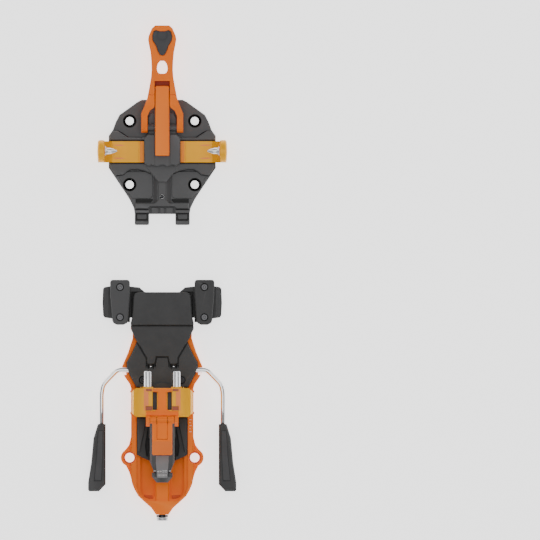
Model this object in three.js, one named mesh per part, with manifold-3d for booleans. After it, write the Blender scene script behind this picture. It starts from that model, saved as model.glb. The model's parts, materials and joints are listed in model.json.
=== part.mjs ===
// Alpine touring binding for one ski: the toe unit and the heel unit, in millimetres.
// +Y points to the ski tip, +X to the skier's right and +Z up from the ski's top sheet.

import * as THREE from 'three';
import { mergeVertices } from 'three/addons/utils/BufferGeometryUtils.js';
import Module from 'manifold-3d';

const wasm = await Module();
wasm.setup();

// ---- Driving dimensions ----------------------------------------------------------------

const GAP = 0.3;                    // clearance between pieces that touch
const FAR = 60;                     // reach of a cut that leaves the piece
const TOE_Y = 101.3;                // toe pin axis, from the middle of the binding
const HEEL_Y = -107;                // turret axis

const TOE_PLATE = 5;                // thickness of the toe base plate
const TOE_RIDGE = 9.5;              // top of the ridges beside the wings
const TOE_BLOCK_TOP = 14.9;
const BLADE_BED = 0.6;              // depth of the lock blade's bed in the block
const TOE_HOLE = { x: 27, front: 24.8, rear: -28, radius: 3.7, head: 5.3 };
const WING_HINGE = { x: 12, z: 5.6 };
const WING = { front: 8, rear: -9.6 };     // edges of the wing arms along the ski
const TOE_PIN_Z = 28.7;             // height of the toe pins with the wings open
const LEVER_AXLE = { y: 19.4, z: 12, radius: 1.5 };
const LEVER_BARREL = 3;             // radius of the base's barrel around that axle
const BLADE_PIN = { y: 51, z: 17.2, radius: 1.2 };
const BLADE = { width: 11.9, front: 54, rear: -4.1, bottom: 15.5, top: 18.9 };
const RIVET = { y: -38, radius: 1.5 };

const HEEL_PLATE = 4;               // floor of the heel base
const RAIL = { channel: 18.2, ledge: 10.5, inner: 21.3, outer: 25.9, top: 14 };
const EAR = { x: 27, y: -46.1, radius: 7.3, hole: 3.9, head: 5 };
const SCREW_Z = 8;                  // axis of the length adjusting screw
const BRAKE_AXLE = { y: 26.6, z: 9 };
const HOUSING_SCREW = { x: 16.1, y: 18.2, radius: 2, head: 3, top: 12.8 };
const WIRE_RADIUS = 2;
const TURRET_FLOOR = 16.8;          // underside of the turret
const TURRET_TOP = 46;
const HEEL_PIN = { x: 12, z: 41, radius: 3, tip: 25.6, pivot: -6 };
const RELEASE_Z = 28;               // axis of the release spring
const RISER_AXLE = { y: -14.9, z: 50.5, radius: 1.4 };

// ---- Materials -------------------------------------------------------------------------

function paint(color, roughness, metalness) {
  return () => new THREE.MeshStandardMaterial({ color, roughness, metalness });
}

const orange = paint(0xff8828, 0.45, 0.35);
const gold = paint(0xffb524, 0.3, 0.8);
const toeGrey = paint(0x5a5a5c, 0.6, 0.1);
const darkPlastic = paint(0x464646, 0.65, 0);
const blackSteel = paint(0x26262a, 0.4, 0.8);
const steel = paint(0xd8dade, 0.2, 1);
const brass = paint(0xc9a24a, 0.35, 1);

// ---- Solids ----------------------------------------------------------------------------

function solid(geometry) {
  geometry.deleteAttribute('normal');
  geometry.deleteAttribute('uv');
  const merged = mergeVertices(geometry, 1e-4);
  return new wasm.Manifold(new wasm.Mesh({
    numProp: 3,
    vertProperties: new Float32Array(merged.attributes.position.array),
    triVerts: new Uint32Array(merged.index.array),
  }));
}

function shapeOf(points) {
  return new THREE.Shape(points.map(([a, b]) => new THREE.Vector2(a, b)));
}

// A plate with an outline in X and Y, from z0 up to z1, its edges chamfered by bevel.
function slab(points, z0, z1, bevel = 0) {
  const geometry = new THREE.ExtrudeGeometry(shapeOf(points), {
    depth: z1 - z0 - 2 * bevel,
    bevelEnabled: bevel > 0,
    bevelThickness: bevel,
    bevelSize: bevel,
    bevelOffset: -bevel,
    bevelSegments: 1,
  });
  geometry.translate(0, 0, z0 + bevel);
  return solid(geometry);
}

// A bar with a section in Y and Z, from x0 to x1.
function barX(points, x0, x1) {
  const geometry = new THREE.ExtrudeGeometry(shapeOf(points), { depth: x1 - x0, bevelEnabled: false });
  geometry.rotateX(Math.PI / 2);
  geometry.rotateZ(Math.PI / 2);
  geometry.translate(x0, 0, 0);
  return solid(geometry);
}

// A bar with a section in X and Z, from y0 to y1.
function barY(points, y0, y1) {
  const geometry = new THREE.ExtrudeGeometry(shapeOf(points), { depth: y1 - y0, bevelEnabled: false });
  geometry.rotateX(Math.PI / 2);
  geometry.translate(0, y1, 0);
  return solid(geometry);
}

function box(x0, x1, y0, y1, z0, z1) {
  const geometry = new THREE.BoxGeometry(x1 - x0, y1 - y0, z1 - z0);
  geometry.translate((x0 + x1) / 2, (y0 + y1) / 2, (z0 + z1) / 2);
  return solid(geometry);
}

// A turned part: profile points are [radius, distance along the axis].
function turned(profile, origin, direction, sides = 20) {
  const geometry = new THREE.LatheGeometry(profile.map(([r, t]) => new THREE.Vector2(r, t)), sides);
  const turn = new THREE.Quaternion().setFromUnitVectors(
    new THREE.Vector3(0, 1, 0),
    new THREE.Vector3(...direction).normalize(),
  );
  geometry.applyQuaternion(turn);
  geometry.translate(...origin);
  return solid(geometry);
}

function rod(radius, from, to, sides = 16) {
  const start = new THREE.Vector3(...from);
  const along = new THREE.Vector3(...to).sub(start);
  const profile = [[0, 0], [radius, 0], [radius, along.length()], [0, along.length()]];
  return turned(profile, from, along.toArray(), sides);
}

function ball(radius, x, y, z) {
  const geometry = new THREE.SphereGeometry(radius, 8, 4);
  geometry.translate(x, y, z);
  return solid(geometry);
}

// A round bar bent at each of its inner points.
function bentWire(radius, points) {
  const stretches = points.slice(1).map((point, i) => rod(radius, points[i], point, 8));
  const bends = points.slice(1, -1).map((point) => ball(radius, ...point));
  return join(...stretches, ...bends);
}

function arc(cx, cy, radius, fromDegrees, toDegrees, steps) {
  return Array.from({ length: steps + 1 }, (_, i) => {
    const angle = THREE.MathUtils.degToRad(fromDegrees + (toDegrees - fromDegrees) * (i / steps));
    return [cx + radius * Math.cos(angle), cy + radius * Math.sin(angle)];
  });
}

// The outline on the right-hand side, from front to rear, completed by its mirror image.
function mirrored(rightSide) {
  const leftSide = rightSide.filter(([x]) => x > 0).reverse().map(([x, y]) => [-x, y]);
  return [...rightSide, ...leftSide];
}

// The same piece on both sides: side is 1 on the right and -1 on the left.
function bothSides(make) {
  return join(make(1), make(-1));
}

function boxOn(side, x0, x1, ...rest) {
  return box(Math.min(side * x0, side * x1), Math.max(side * x0, side * x1), ...rest);
}

function join(...solids) {
  return solids.reduce((sum, next) => sum.add(next));
}

function cut(base, ...tools) {
  return tools.reduce((rest, tool) => rest.subtract(tool), base);
}

function piece(name, body, material) {
  const mesh = body.getMesh();
  const geometry = new THREE.BufferGeometry();
  geometry.setAttribute('position', new THREE.BufferAttribute(new Float32Array(mesh.vertProperties), 3));
  geometry.setIndex(new THREE.BufferAttribute(new Uint32Array(mesh.triVerts), 1));
  geometry.computeVertexNormals();
  const result = new THREE.Mesh(geometry, material());
  result.name = name;
  return result;
}

// A mounting screw's hole through a base plate, countersunk from above.
function screwHole(radius, headRadius, x, y) {
  const profile = [[0, -1], [radius, -1], [radius, 2.6], [headRadius, 3.4], [headRadius, 20], [0, 20]];
  return turned(profile, [x, y, 0], [0, 0, 1]);
}

// ---- Toe unit, measured from the toe pin axis ------------------------------------------

function toeHoles() {
  const places = [TOE_HOLE.front, TOE_HOLE.rear].flatMap((y) => [[TOE_HOLE.x, y], [-TOE_HOLE.x, y]]);
  return places.map(([x, y]) => screwHole(TOE_HOLE.radius, TOE_HOLE.head, x, y));
}

function toePlate() {
  const outline = mirrored([
    [17, 42.4], [20.5, 40.6], [35.5, 29.8], [38.5, 24], [41, 17.3], [44.4, 12.4], [44.4, -14.2],
    [31, -34.1], [26.8, -40.7], [23.6, -47.4], [22.8, -52], [22.8, -60.4], [21.8, -61.5],
    [12, -61.5], [10.9, -60.4], [10.9, -52.4],
  ]);
  return slab(outline, 0, TOE_PLATE, 0.8);
}

// Ridges in front of and behind the wings, which keep them square to the ski.
function wingRidges(side) {
  const frontRidge = [
    [9.4, 8.7], [43.4, 8.7], [43.4, 13.4], [41.2, 16.6], [37.2, 16.6], [28.6, 11.2], [17, 10.9],
    [13.4, 12.6], [9.4, 12.6],
  ];
  const rearRidge = [
    [9.4, -10.3], [9.4, -18.8], [14.4, -16.6], [20, -15.4], [26, -15.4], [29.4, -17.2], [32.2, -19.6],
    [38.6, -20.4], [42.8, -14.6], [43.4, -10.3],
  ];
  return join(...[frontRidge, rearRidge].map((outline) => (
    slab(outline.map(([x, y]) => [side * x, y]), 3, TOE_RIDGE, 0.8)
  )));
}

// Low pads around the rear screw holes, each closed off behind by a groove across the plate.
function rearPad(side) {
  const outline = [
    [7.7, -17], [7.7, -37.4], [9.8, -39.6], [24.2, -39.6], [28.6, -34.8], [33, -27], [37, -19.6], [36, -17],
  ];
  return slab(outline.map(([x, y]) => [side * x, y]), 3, TOE_PLATE + 0.7, 0.5);
}

// The spine from the wings back to the crampon receivers, with a slotted tab at its end.
function rearNeck() {
  const triangle = slab(mirrored([[13, -12], [13, -14], [3.2, -26]]), 3, 10, 0.6);
  const ridge = slab(mirrored([[3.4, -22], [3.4, -40.4], [7, -44.4]]), 3, 8.4, 0.6);
  const flanks = barY([[7.2, 4], [7.2, 5.2], [4, 7.6], [-4, 7.6], [-7.2, 5.2], [-7.2, 4]], -43.8, -18);
  const crossBar = slab(mirrored([[22.2, -43.4], [22.2, -48.2], [12, -48.2], [10, -46.2]]), 3, 8.4, 0.6);
  const tab = slab(mirrored([[9, -47], [9, -52.4]]), 3, 7.2, 0.4);
  const slots = bothSides((side) => boxOn(side, 1.5, 3.3, -53, -47.4, 3.6, 9));
  return cut(join(triangle, ridge, flanks, crossBar, tab), slots);
}

// Receivers for the axle of a ski crampon: a channel open upwards, with an upturned lip behind.
function cramponReceiver(side) {
  const section = [
    [-47, 3], [-47, 6.4], [-49.2, 6.4], [-49.2, 10.4], [-49.6, 10.8], [-51, 10.8], [-51.4, 10.4],
    [-51.4, 3.4], [-58, 3.4], [-58, 7], [-58.6, 7.6], [-60.8, 7.6], [-61.3, 7], [-61.3, 3],
  ];
  const hook = barX(section, 11.1, 22.6);
  return side > 0 ? hook : hook.mirror([1, 0, 0]);
}

function toeBase() {
  const frontBoss = slab(mirrored([[9.6, 31], [11.9, 27], [11.9, 14.2], [9.6, 12.5]]), 3, 10.6, 0.6);
  const barrel = alongLeverAxle(LEVER_BARREL, 11.9);
  const body = join(
    toePlate(),
    frontBoss,
    barrel,
    rearNeck(),
    bothSides(wingRidges),
    bothSides(rearPad),
    bothSides(cramponReceiver),
  );
  const axleBore = alongLeverAxle(LEVER_AXLE.radius + GAP, 20);
  const springTray = box(-16.4, 16.4, WING.rear - 0.6, WING.front + 0.6, 1.6, FAR);
  const wingTrough = box(-46, 46, WING.rear - 0.6, WING.front + 0.6, TOE_PLATE - 0.6, FAR);
  const padGrooves = bothSides((side) => boxOn(side, 7.6, 22.2, -43, -39.9, 3.8, FAR));
  const rivetHole = rod(RIVET.radius + GAP, [0, RIVET.y, -1], [0, RIVET.y, 20], 12);
  const wingBores = bothSides((side) => wingAxle(side, GAP));
  return cut(body, axleBore, springTray, wingTrough, padGrooves, rivetHole, wingBores, ...toeHoles());
}

// The cover over the wing hinges, with a shallow bed for the lock blade.
function toeBlock() {
  const outline = mirrored([
    [12, 13.8], [15, 9.8], [15, -10.2], [10.8, -12.6], [9, -11.6], [3.4, -12.8], [1.6, -11.4],
  ]);
  const shell = slab(outline, 2, TOE_BLOCK_TOP, 0.7);
  const hollow = box(-18, 18, WING.rear - 0.4, WING.front + 0.4, 0, 12.6);
  const bed = box(-6.6, 6.6, -20, 20, TOE_BLOCK_TOP - BLADE_BED, FAR);
  const seat = box(-30, 30, -30, WING.rear - 0.3, 0, 10 + GAP);
  const frontSeat = box(-30, 30, WING.front + 0.3, 30, 0, 10.6 + GAP);
  const barrelRoom = alongLeverAxle(LEVER_BARREL + GAP, 20);
  return cut(shell, hollow, bed, seat, frontSeat, barrelRoom);
}

function wingAxle(side, clearance = 0) {
  const x = side * WING_HINGE.x;
  const start = [x, WING.rear - 5 - clearance, WING_HINGE.z];
  return rod(1.3 + clearance, start, [x, WING.front + 5 + clearance, WING_HINGE.z], 12);
}

// A wing: a flat arm from the hinge, an upright at its end, and the barrel that holds the pin.
function toeWing(side) {
  const section = [
    [17, 4.7], [48.5, 4.7], [51.5, 7], [53.2, 14], [53.2, TOE_PIN_Z], [47.9, TOE_PIN_Z], [47.9, 24],
    [46.3, 18], [44.3, 12.2], [41.5, 9.8], [18, 9.8], [12, 9], [6, 7.4], [6, 4.2], [12, 2.6],
  ];
  const arm = barY(section.map(([x, z]) => [side * x, z]), WING.rear, WING.front);
  const bossProfile = [[0, 47.9], [8.6, 47.9], [9.3, 48.7], [9.3, 52.4], [8.2, 53.4], [0, 54]];
  const boss = turned(bossProfile, [0, -0.3, TOE_PIN_Z], [side, 0, 0], 28);
  const band = boxOn(side, 19, 19.6, WING.rear - 1, WING.front + 1, 9.3, 12);
  const pinSeat = rod(2.5 + GAP, [side * 47, 0, TOE_PIN_Z], [side * 51.8, 0, TOE_PIN_Z]);
  return cut(join(arm, boss), band, pinSeat, wingAxle(side, GAP));
}

function toePin(side) {
  const profile = [
    [0, 37.3], [0.9, 37.5], [2.5, 41], [2.5, 44.4], [3.7, 45.2], [3.7, 47.6], [2.5, 47.6], [2.5, 51.5],
    [0, 51.5],
  ];
  return turned(profile, [0, 0, TOE_PIN_Z], [side, 0, 0], 16);
}

class Helix extends THREE.Curve {
  constructor(radius, length, turns) {
    super();
    Object.assign(this, { radius, length, turns });
  }

  getPoint(t, target = new THREE.Vector3()) {
    const angle = 2 * Math.PI * this.turns * t;
    return target.set(this.radius * Math.cos(angle), this.radius * Math.sin(angle), this.length * t);
  }
}

// A coil spring from the origin along direction, made of round wire.
function coil(radius, length, turns, wireRadius, origin, direction) {
  const geometry = new THREE.ExtrudeGeometry(shapeOf(arc(0, 0, wireRadius, 0, 288, 4)), {
    steps: turns * 8,
    extrudePath: new Helix(radius, length, turns),
  });
  const turn = new THREE.Quaternion().setFromUnitVectors(
    new THREE.Vector3(0, 0, 1),
    new THREE.Vector3(...direction),
  );
  geometry.applyQuaternion(turn);
  geometry.translate(...origin);
  return solid(geometry);
}

// A round bar across the ski on the lever's axle, out to reach on both sides.
function alongLeverAxle(radius, reach) {
  const { y, z } = LEVER_AXLE;
  return rod(radius, [-reach, y, z], [reach, y, z], 16);
}

// A round bar across the ski through the lever and the root of the lock blade.
function alongBladePin(radius, reach) {
  const { y, z } = BLADE_PIN;
  return rod(radius, [-reach, y, z], [reach, y, z], 12);
}

// The lock lever: a fork around the axle, a closed window for the blade, and a hole for a pole tip.
function lockLever() {
  const plan = slab(mirrored([
    [5.8, 104.1], [8.6, 101.6], [11.3, 95.3], [11.75, 92], [10.8, 87], [9.75, 82], [9, 74],
    [8.8, 67], [9.3, 60.5], [10.8, 52.2], [12.4, 43.9], [14, 38.9], [17.4, 31], [17.4, 14.6],
    [12.2, 14.6], [12.2, 29], [10.2, 33.4], [6.9, 36], [6.3, 37.5], [6.3, 58],
  ]), 0, 30);
  const hinge = arc(LEVER_AXLE.y, LEVER_AXLE.z, 4.4, 110, 270, 8);
  const profile = barX([
    ...hinge, [24, 8.6], [46.6, 13.4], [104.4, 17.8], [104.4, 21.4], [102.5, 22.6], [46.9, 19.6],
    [46.4, 18.9], [38, 18.5], [26, 16.4],
  ], -20, 20);
  const web = box(-6.6, 6.6, 41, 58.6, 11.9, 13.9);
  const hole = slab(mirrored([
    [1.6, 74.6], [3.4, 72.6], [4.1, 70.4], [4.35, 68.2], [4.1, 66.4], [3.2, 64.8], [1.8, 64.1],
  ]), 0, FAR);
  const padPocket = slab(padOutline(GAP), 19.4, FAR);
  const axleBore = alongLeverAxle(LEVER_AXLE.radius + GAP, 20);
  const pinBore = alongBladePin(BLADE_PIN.radius + GAP, 9.8);
  return cut(join(plan.intersect(profile), web), hole, padPocket, axleBore, pinBore);
}

function padOutline(extra) {
  const edge = [
    [2, 99], [5, 100], [7.2, 98.6], [8.1, 94.8], [7.8, 92], [4.8, 87], [3.5, 83], [2, 80.2], [0.8, 79.4],
  ];
  return mirrored(edge.map(([x, y], i) => [x + extra, y + (i < 4 ? extra : -extra)]));
}

function thumbPad() {
  const dish = turned([[0, -3], [5, -3], [4, -1.2], [0, -0.7]], [0, 96, 25.2], [0, 0, 1], 16);
  return cut(slab(padOutline(0), 19.7, 22.9, 0.5), dish);
}

function lockBlade() {
  const half = BLADE.width / 2;
  const outline = mirrored([
    [half - 1, BLADE.front], [half, BLADE.front - 1], [half, BLADE.rear + 0.6], [half - 0.6, BLADE.rear],
  ]);
  const pinBore = alongBladePin(BLADE_PIN.radius + GAP, 8);
  return cut(slab(outline, BLADE.bottom, BLADE.top, 0.4), pinBore);
}

function baseRivet() {
  const profile = [[0, 1], [RIVET.radius, 1], [RIVET.radius, 8.8], [1.1, 9.3], [0, 9.3]];
  return turned(profile, [0, RIVET.y, 0], [0, 0, 1], 12);
}

function buildToe() {
  const toe = new THREE.Group();
  toe.position.y = TOE_Y;
  toe.add(
    piece('toe_base', toeBase(), toeGrey),
    piece('toe_block', toeBlock(), toeGrey),
    piece('base_rivet', baseRivet(), blackSteel),
    piece('lever_axle', alongLeverAxle(LEVER_AXLE.radius, 16.8), blackSteel),
    piece('lock_lever', lockLever(), orange),
    piece('lever_thumb_pad', thumbPad(), darkPlastic),
    piece('lock_blade', lockBlade(), orange),
    piece('blade_pin', alongBladePin(BLADE_PIN.radius, 9.5), steel),
    piece('wing_spring_front', coil(1.8, 11, 5, 0.4, [-5.5, 4.2, WING_HINGE.z], [1, 0, 0]), steel),
    piece('wing_spring_rear', coil(1.8, 11, 5, 0.4, [-5.5, -5.8, WING_HINGE.z], [1, 0, 0]), steel),
  );
  for (const [hand, side] of [['left', -1], ['right', 1]]) {
    toe.add(
      piece(`toe_wing_${hand}`, toeWing(side), gold),
      piece(`toe_pin_${hand}`, toePin(side), steel),
      piece(`wing_axle_${hand}`, wingAxle(side), blackSteel),
    );
  }
  return toe;
}

// ---- Heel unit, measured from the turret axis ------------------------------------------

function heelBase() {
  const outline = mirrored([
    [24.5, 58], [24.5, 53], [26.1, 48], [28.2, 41.5], [33.6, 28.8], [33.6, 26.4], [31, 20.6], [27, 14.9],
    [RAIL.outer, 11.4], [RAIL.outer, -29], [27.6, -35.7], [30.4, -39.4],
    ...arc(EAR.x, EAR.y, EAR.radius, 40, -65, 8),
    [27.4, -58], [25.9, -63], [24.9, -68], [22.8, -73], [19.9, -78], [14.5, -83], [9, -87.9], [5.2, -93.4],
  ]);
  const rim = mirrored([
    [RAIL.outer, 11.4], [RAIL.outer, -63], [24.9, -68], [22.8, -73], [19.9, -78], [14.5, -83],
    [9, -87.9], [5.2, -93.4],
  ]);
  const wall = slab(rim, 3, RAIL.top, 0.9);
  const ledge = mirrored([[RAIL.inner, 20], [RAIL.inner, -70], [19.4, -76], [13, -82]]);
  const channel = slab(mirrored([
    [RAIL.channel, 20], [RAIL.channel, -72], [17.2, -76], [14.6, -79], [11, -80.4], [7.4, -80.4], [6, -78.6],
    [6, -66],
  ]), HEEL_PLATE, FAR);
  const sideLugs = bothSides((side) => join(...[8.7, -9.1].map((y) => (
    rod(1.1, [side * 25.6, y, 3], [side * 25.6, y, RAIL.top - 1.2], 12)
  ))));
  const spine = slab(mirrored([[5.4, -66], [5.4, -92]]), 3, 12.6, 0.6);
  const rimEnds = join(box(-40, 40, -100, 11.2, 0, 10), box(-40, 40, 52, 60, HEEL_PLATE, 10));
  const frontRim = cut(slab(outline, 3, 6.2, 0.6), rimEnds, slab(hexOutline(0.5), 2, 20));
  const rails = join(cut(wall, slab(ledge, RAIL.ledge, FAR), channel), spine);
  const body = join(slab(outline, 0, HEEL_PLATE, 0.6), rails, frontRim, sideLugs);
  const screwBore = rod(3.3, [0, -100, SCREW_Z], [0, -60, SCREW_Z]);
  const earHoles = bothSides((side) => screwHole(EAR.hole, EAR.head, side * EAR.x, EAR.y));
  const wireNotches = bothSides((side) => boxOn(side, 29.9, 32.3, 22.6, 25.4, -1, 20));
  return cut(body, screwBore, earHoles, wireNotches, bothSides(housingScrewRoom));
}

function hexOutline(extra = 0) {
  return mirrored([
    [20, 52], [21.6, 48], [26.1, 38.2], [29.3, 33], [29.3, 29], [27.2, 23.2], [24.5, 18.2], [21.2, 12],
  ].map(([x, y], i) => [x + extra, i < 7 ? y : y - extra]));
}

function pedalOutline(side = 0, back = 0) {
  return mirrored([
    [26.1, 63.2], [26.1, 60.5], [21.4, 51], [19.4, 48.1], [12.9, 36.8], [12.9, 32.6], [11.6, 31.35],
  ].map(([x, y]) => [x + side, y - back]).concat([
    [7.2, 31.35], [6, 32.6], [5, 37.6],
  ].map(([x, y]) => [x - side, y - back])));
}

// The hole for a housing screw, open below the base and above the head.
function housingScrewRoom(side) {
  const { x, y, radius, head, top } = HOUSING_SCREW;
  return join(
    rod(radius + GAP, [side * x, y, -1], [side * x, y, top]),
    rod(head + 0.4, [side * x, y, top - 2.4], [side * x, y, FAR]),
  );
}

function housingScrew(side) {
  const { x, y, radius, head, top } = HOUSING_SCREW;
  const profile = [
    [0, 1], [radius, 1], [radius, top - 2.1], [head, top - 2.1], [head, top - 0.4],
    [head - 0.4, top], [0, top],
  ];
  const hexSocket = rod(1.4, [side * x, y, top - 1.2], [side * x, y, top + 1], 6);
  return cut(turned(profile, [side * x, y, 0], [0, 0, 1], 14), hexSocket);
}

// The brake housing holds the brake wires' axle and the springs that lift the pedal.
function brakeHousing() {
  const { y, z } = BRAKE_AXLE;
  const bodyShape = slab(hexOutline(), HEEL_PLATE + GAP, 13.4, 0.8);
  const recess = slab(pedalOutline(0.8, 1), 9.8, 30);
  const wireBore = rod(WIRE_RADIUS + GAP, [-40, y, z], [40, y, z], 12);
  const springBore = rod(3.6, [-12, y, z], [12, y, z], 14);
  const crankSlots = bothSides((side) => join(
    boxOn(side, 7, 12, y - 2.6, 60, z - 2.4, z + 2.4),
    boxOn(side, 7, 12, y + 0.7, 60, z - 2.4, 30),
  ));
  const round = arc(y, z, 4.4, 90, 0, 6);
  const rounding = bothSides((side) => {
    const bar = barX([...round, [y + 8, z], [y + 8, 20], [y, 20]], 5.1, 13.7);
    return side > 0 ? bar : bar.mirror([1, 0, 0]);
  });
  const screwRooms = bothSides(housingScrewRoom);
  return cut(bodyShape, recess, wireBore, springBore, crankSlots, rounding, screwRooms);
}

function wirePath(side) {
  const { y, z } = BRAKE_AXLE;
  return [[9.5, 47, z], [9.5, y, z], [37.3, y, z], [48.9, 14.4, z], [50.3, 7, z], [50.3, -57, z]]
    .map(([x, ...rest]) => [side * x, ...rest]);
}

function brakePedal() {
  const rear = slab(pedalOutline(), 10.1, 14.2, 0.5);
  const front = slab(mirrored([[26.1, 63.2], [26.1, 61.4], [23.4, 56.6], [23, 52.8]]), 4.6, 14.2, 0.5);
  const wireSeats = bothSides((side) => bentWire(WIRE_RADIUS + GAP, wirePath(side).slice(0, 3)));
  const crankRoom = bothSides((side) => boxOn(side, 6.6, 12.4, 20, 31.8, 0, 12));
  return cut(join(rear, front), wireSeats, crankRoom);
}

function platform() {
  const top = slab(mirrored([
    [19.4, 91.2], [22.4, 90.3], [23.8, 88], [25.2, 69.6], [26.1, 65.7], [26.1, 63.5],
  ]), 4.8, 16.8, 0.8);
  return cut(top, box(-60, 60, 69.3, 120, -1, 9.3));
}

function beam() {
  const outline = mirrored([
    [13.9, 90.9], [17.2, 93.6], [18.8, 95.1], [27.6, 96], [28.6, 99.2], [41.4, 99.2], [42.4, 96.2],
    [47.6, 95.4], [49.1, 94], [49.6, 82], [49, 71.8], [47.8, 70.1], [40.4, 69], [39, 66.2],
    [26.7, 66.2], [26.7, 69.9],
  ]);
  const centre = box(-25.6, 25.6, 60, 91.6, 9, 30);
  const facets = bothSides((side) => barY([[side * 44, 13.5], [side * 50, 9.5], [side * 50, 13.5]], 60, 100));
  return cut(slab(outline, 0.6, 13, 0.8), centre, facets, padScrewRooms());
}

const padScrewPlaces = [1, -1].flatMap((side) => [[side * 35, 95.3], [side * 35, 70.3]]);

function padScrewRooms() {
  return join(...padScrewPlaces.map(([x, y]) => turned(
    [[0, 5], [1.9, 5], [1.9, 16.2], [3.3, 16.2], [3.3, 20], [0, 20]],
    [x, y, 0],
    [0, 0, 1],
    14,
  )));
}

function contactPad(side) {
  const outline = [
    [26.8, 99.4], [27.4, 100.8], [28.7, 101.4], [41.4, 101.4], [42.7, 100.8], [43.3, 99.4],
    [43.2, 88], [41.4, 67.4], [40.4, 65.4], [37.6, 64], [32.2, 64], [29.3, 65.4], [28.2, 67.4],
    [26.8, 88],
  ].map(([x, y]) => [side * x, y]);
  return cut(slab(outline, 13.3, 18.6, 0.8), padScrewRooms());
}

function padScrew(x, y) {
  const profile = [[0, 5.3], [1.6, 5.3], [1.6, 16.5], [2.9, 16.5], [2.9, 17.9], [2.4, 18.3], [0, 18.3]];
  const hexSocket = rod(1.3, [x, y, 17.1], [x, y, 20], 6);
  return cut(turned(profile, [x, y, 0], [0, 0, 1], 14), hexSocket);
}

function brakeGrip(side) {
  const outline = [
    [46.9, -18.3], [53.4, -18.3], [57, -30], [58.9, -50.3], [61.5, -66.8], [61.5, -73], [60.4, -74.1],
    [52.4, -74.1], [46.9, -68.2],
  ].map(([x, y]) => [side * x, y]);
  const start = [side * 50.3, -10, BRAKE_AXLE.z];
  const body = slab(outline, 3.2, 14.8, 1.4);
  return cut(body, rod(WIRE_RADIUS + GAP, start, [side * 50.3, -57.6, BRAKE_AXLE.z], 12));
}

// The carriage slides along the base on the lead screw and carries the turret.
function carriage() {
  const inChannel = mirrored([[17.9, 10.8], [17.9, -45.4], [11, -48.5], [6.4, -48.5], [6.4, -30]]);
  const onLedges = mirrored([[20.9, 10.8], [20.9, -43.6], [17.9, -45.4], [11, -48.5], [10.9, -13]]);
  const body = join(slab(inChannel, 4.3, 11, 0.4), slab(onLedges, 10.8, 14.6, 0.4));
  const ribs = bothSides((side) => slab(
    [[20.9, -13.2], [20.9, -40], [18.6, -41.6], [17.4, -36], [12.6, -13.2]].map(([x, y]) => [side * x, y]),
    14,
    16.3,
    0.5,
  ));
  const frontCover = box(-12, 12, -30, 10.8, 10.8, 14.6);
  const pockets = bothSides((side) => slab(
    [[11.4, -18], [14.4, -36], [13.4, -44.6], [11.4, -45.4]].map(([x, y]) => [side * x, y]),
    8,
    30,
  ));
  const screwBore = rod(3.3, [0, -60, SCREW_Z], [0, 20, SCREW_Z]);
  const nutSeat = box(-6.3, 6.3, -28.3, -17.7, 0, 12.3);
  const postSeat = rod(7.3, [0, 0, 10.7], [0, 0, 30], 24);
  return cut(join(body, ribs, frontCover), pockets, screwBore, nutSeat, postSeat);
}

function leadNut() {
  return cut(box(-6, 6, -28, -18, 4.6, 12), rod(3.3, [0, -30, SCREW_Z], [0, -10, SCREW_Z]));
}

function leadScrew() {
  const profile = [
    [0, -98.5], [4.1, -98.5], [4.55, -98], [4.55, -95.7], [3, -95.7], [3, -10.6], [2.2, -9.8], [0, -9.8],
  ];
  const screw = turned(profile, [0, 0, SCREW_Z], [0, 1, 0], 20);
  return cut(screw, rod(2.5, [0, -100, SCREW_Z], [0, -96.4, SCREW_Z], 6));
}

function screwCollar() {
  return cut(
    rod(4.9, [0, -95.4, SCREW_Z], [0, -93.7, SCREW_Z], 20),
    rod(3.3, [0, -99, SCREW_Z], [0, -90, SCREW_Z]),
  );
}

function turretFlange() {
  const disc = rod(12.4, [0, 3.65, 14.9], [0, 3.65, 16.5], 36);
  return cut(disc, rod(7.3, [0, 0, 10], [0, 0, 20], 24));
}

function turretPost() {
  return turned([[0, 11], [7, 11], [7, 35], [6.2, 36], [0, 36]], [0, 0, 0], [0, 0, 1], 24);
}

// The aluminium turret: it holds the heel pins and turns on the post.
function heelHousing() {
  const section = [
    [21, TURRET_FLOOR], [25.4, 20], [25.4, 39], [23.6, 43.8], [20, TURRET_TOP],
  ];
  const body = barY([...section, ...section.map(([x, z]) => [-x, z]).reverse()], -12.4, 11.6);
  const corners = slab(mirrored([[21.5, 11.6], [25.5, 8.4], [25.5, -9.2], [21.5, -12.4]]), 0, 60);
  const sockets = bothSides((side) => rod(
    5.2,
    [side * (HEEL_PIN.x + 0.6), 4, HEEL_PIN.z],
    [side * (HEEL_PIN.x + 0.6), 12.6, HEEL_PIN.z],
    20,
  ));
  const pinRooms = bothSides((side) => boxOn(side, 8.7, 17.4, -9.5, 14, 37.6, 44.4));
  const pivots = bothSides((side) => rod(
    1.8,
    [side * HEEL_PIN.x, HEEL_PIN.pivot, 36.1],
    [side * HEEL_PIN.x, HEEL_PIN.pivot, 44.6],
    12,
  ));
  const windows = bothSides((side) => boxOn(side, 4.3, 8, -6.6, 8.3, 34, FAR));
  const topPockets = bothSides((side) => boxOn(side, 7.9, 13.9, -7.2, -3.3, 45, FAR));
  const post = rod(7.3, [0, 0, 0], [0, 0, 36.4], 24);
  return cut(
    join(body.intersect(corners), sockets),
    pinRooms,
    pivots,
    windows,
    topPockets,
    post,
    springChamber(),
  );
}

function heelPin(side) {
  const { x, z, radius, tip, pivot } = HEEL_PIN;
  const back = pivot - 2.9;
  const profile = [[0, back], [radius, back], [radius, tip - 0.6], [radius - 0.6, tip], [0, tip]];
  const pin = turned(profile, [side * x, 0, z], [0, 1, 0], 20);
  return cut(pin, rod(1.5 + GAP, [side * x, pivot, 30], [side * x, pivot, 50], 12));
}

function pinPivot(side) {
  return rod(1.5, [side * HEEL_PIN.x, HEEL_PIN.pivot, 36.4], [side * HEEL_PIN.x, HEEL_PIN.pivot, 44.3], 12);
}

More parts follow.
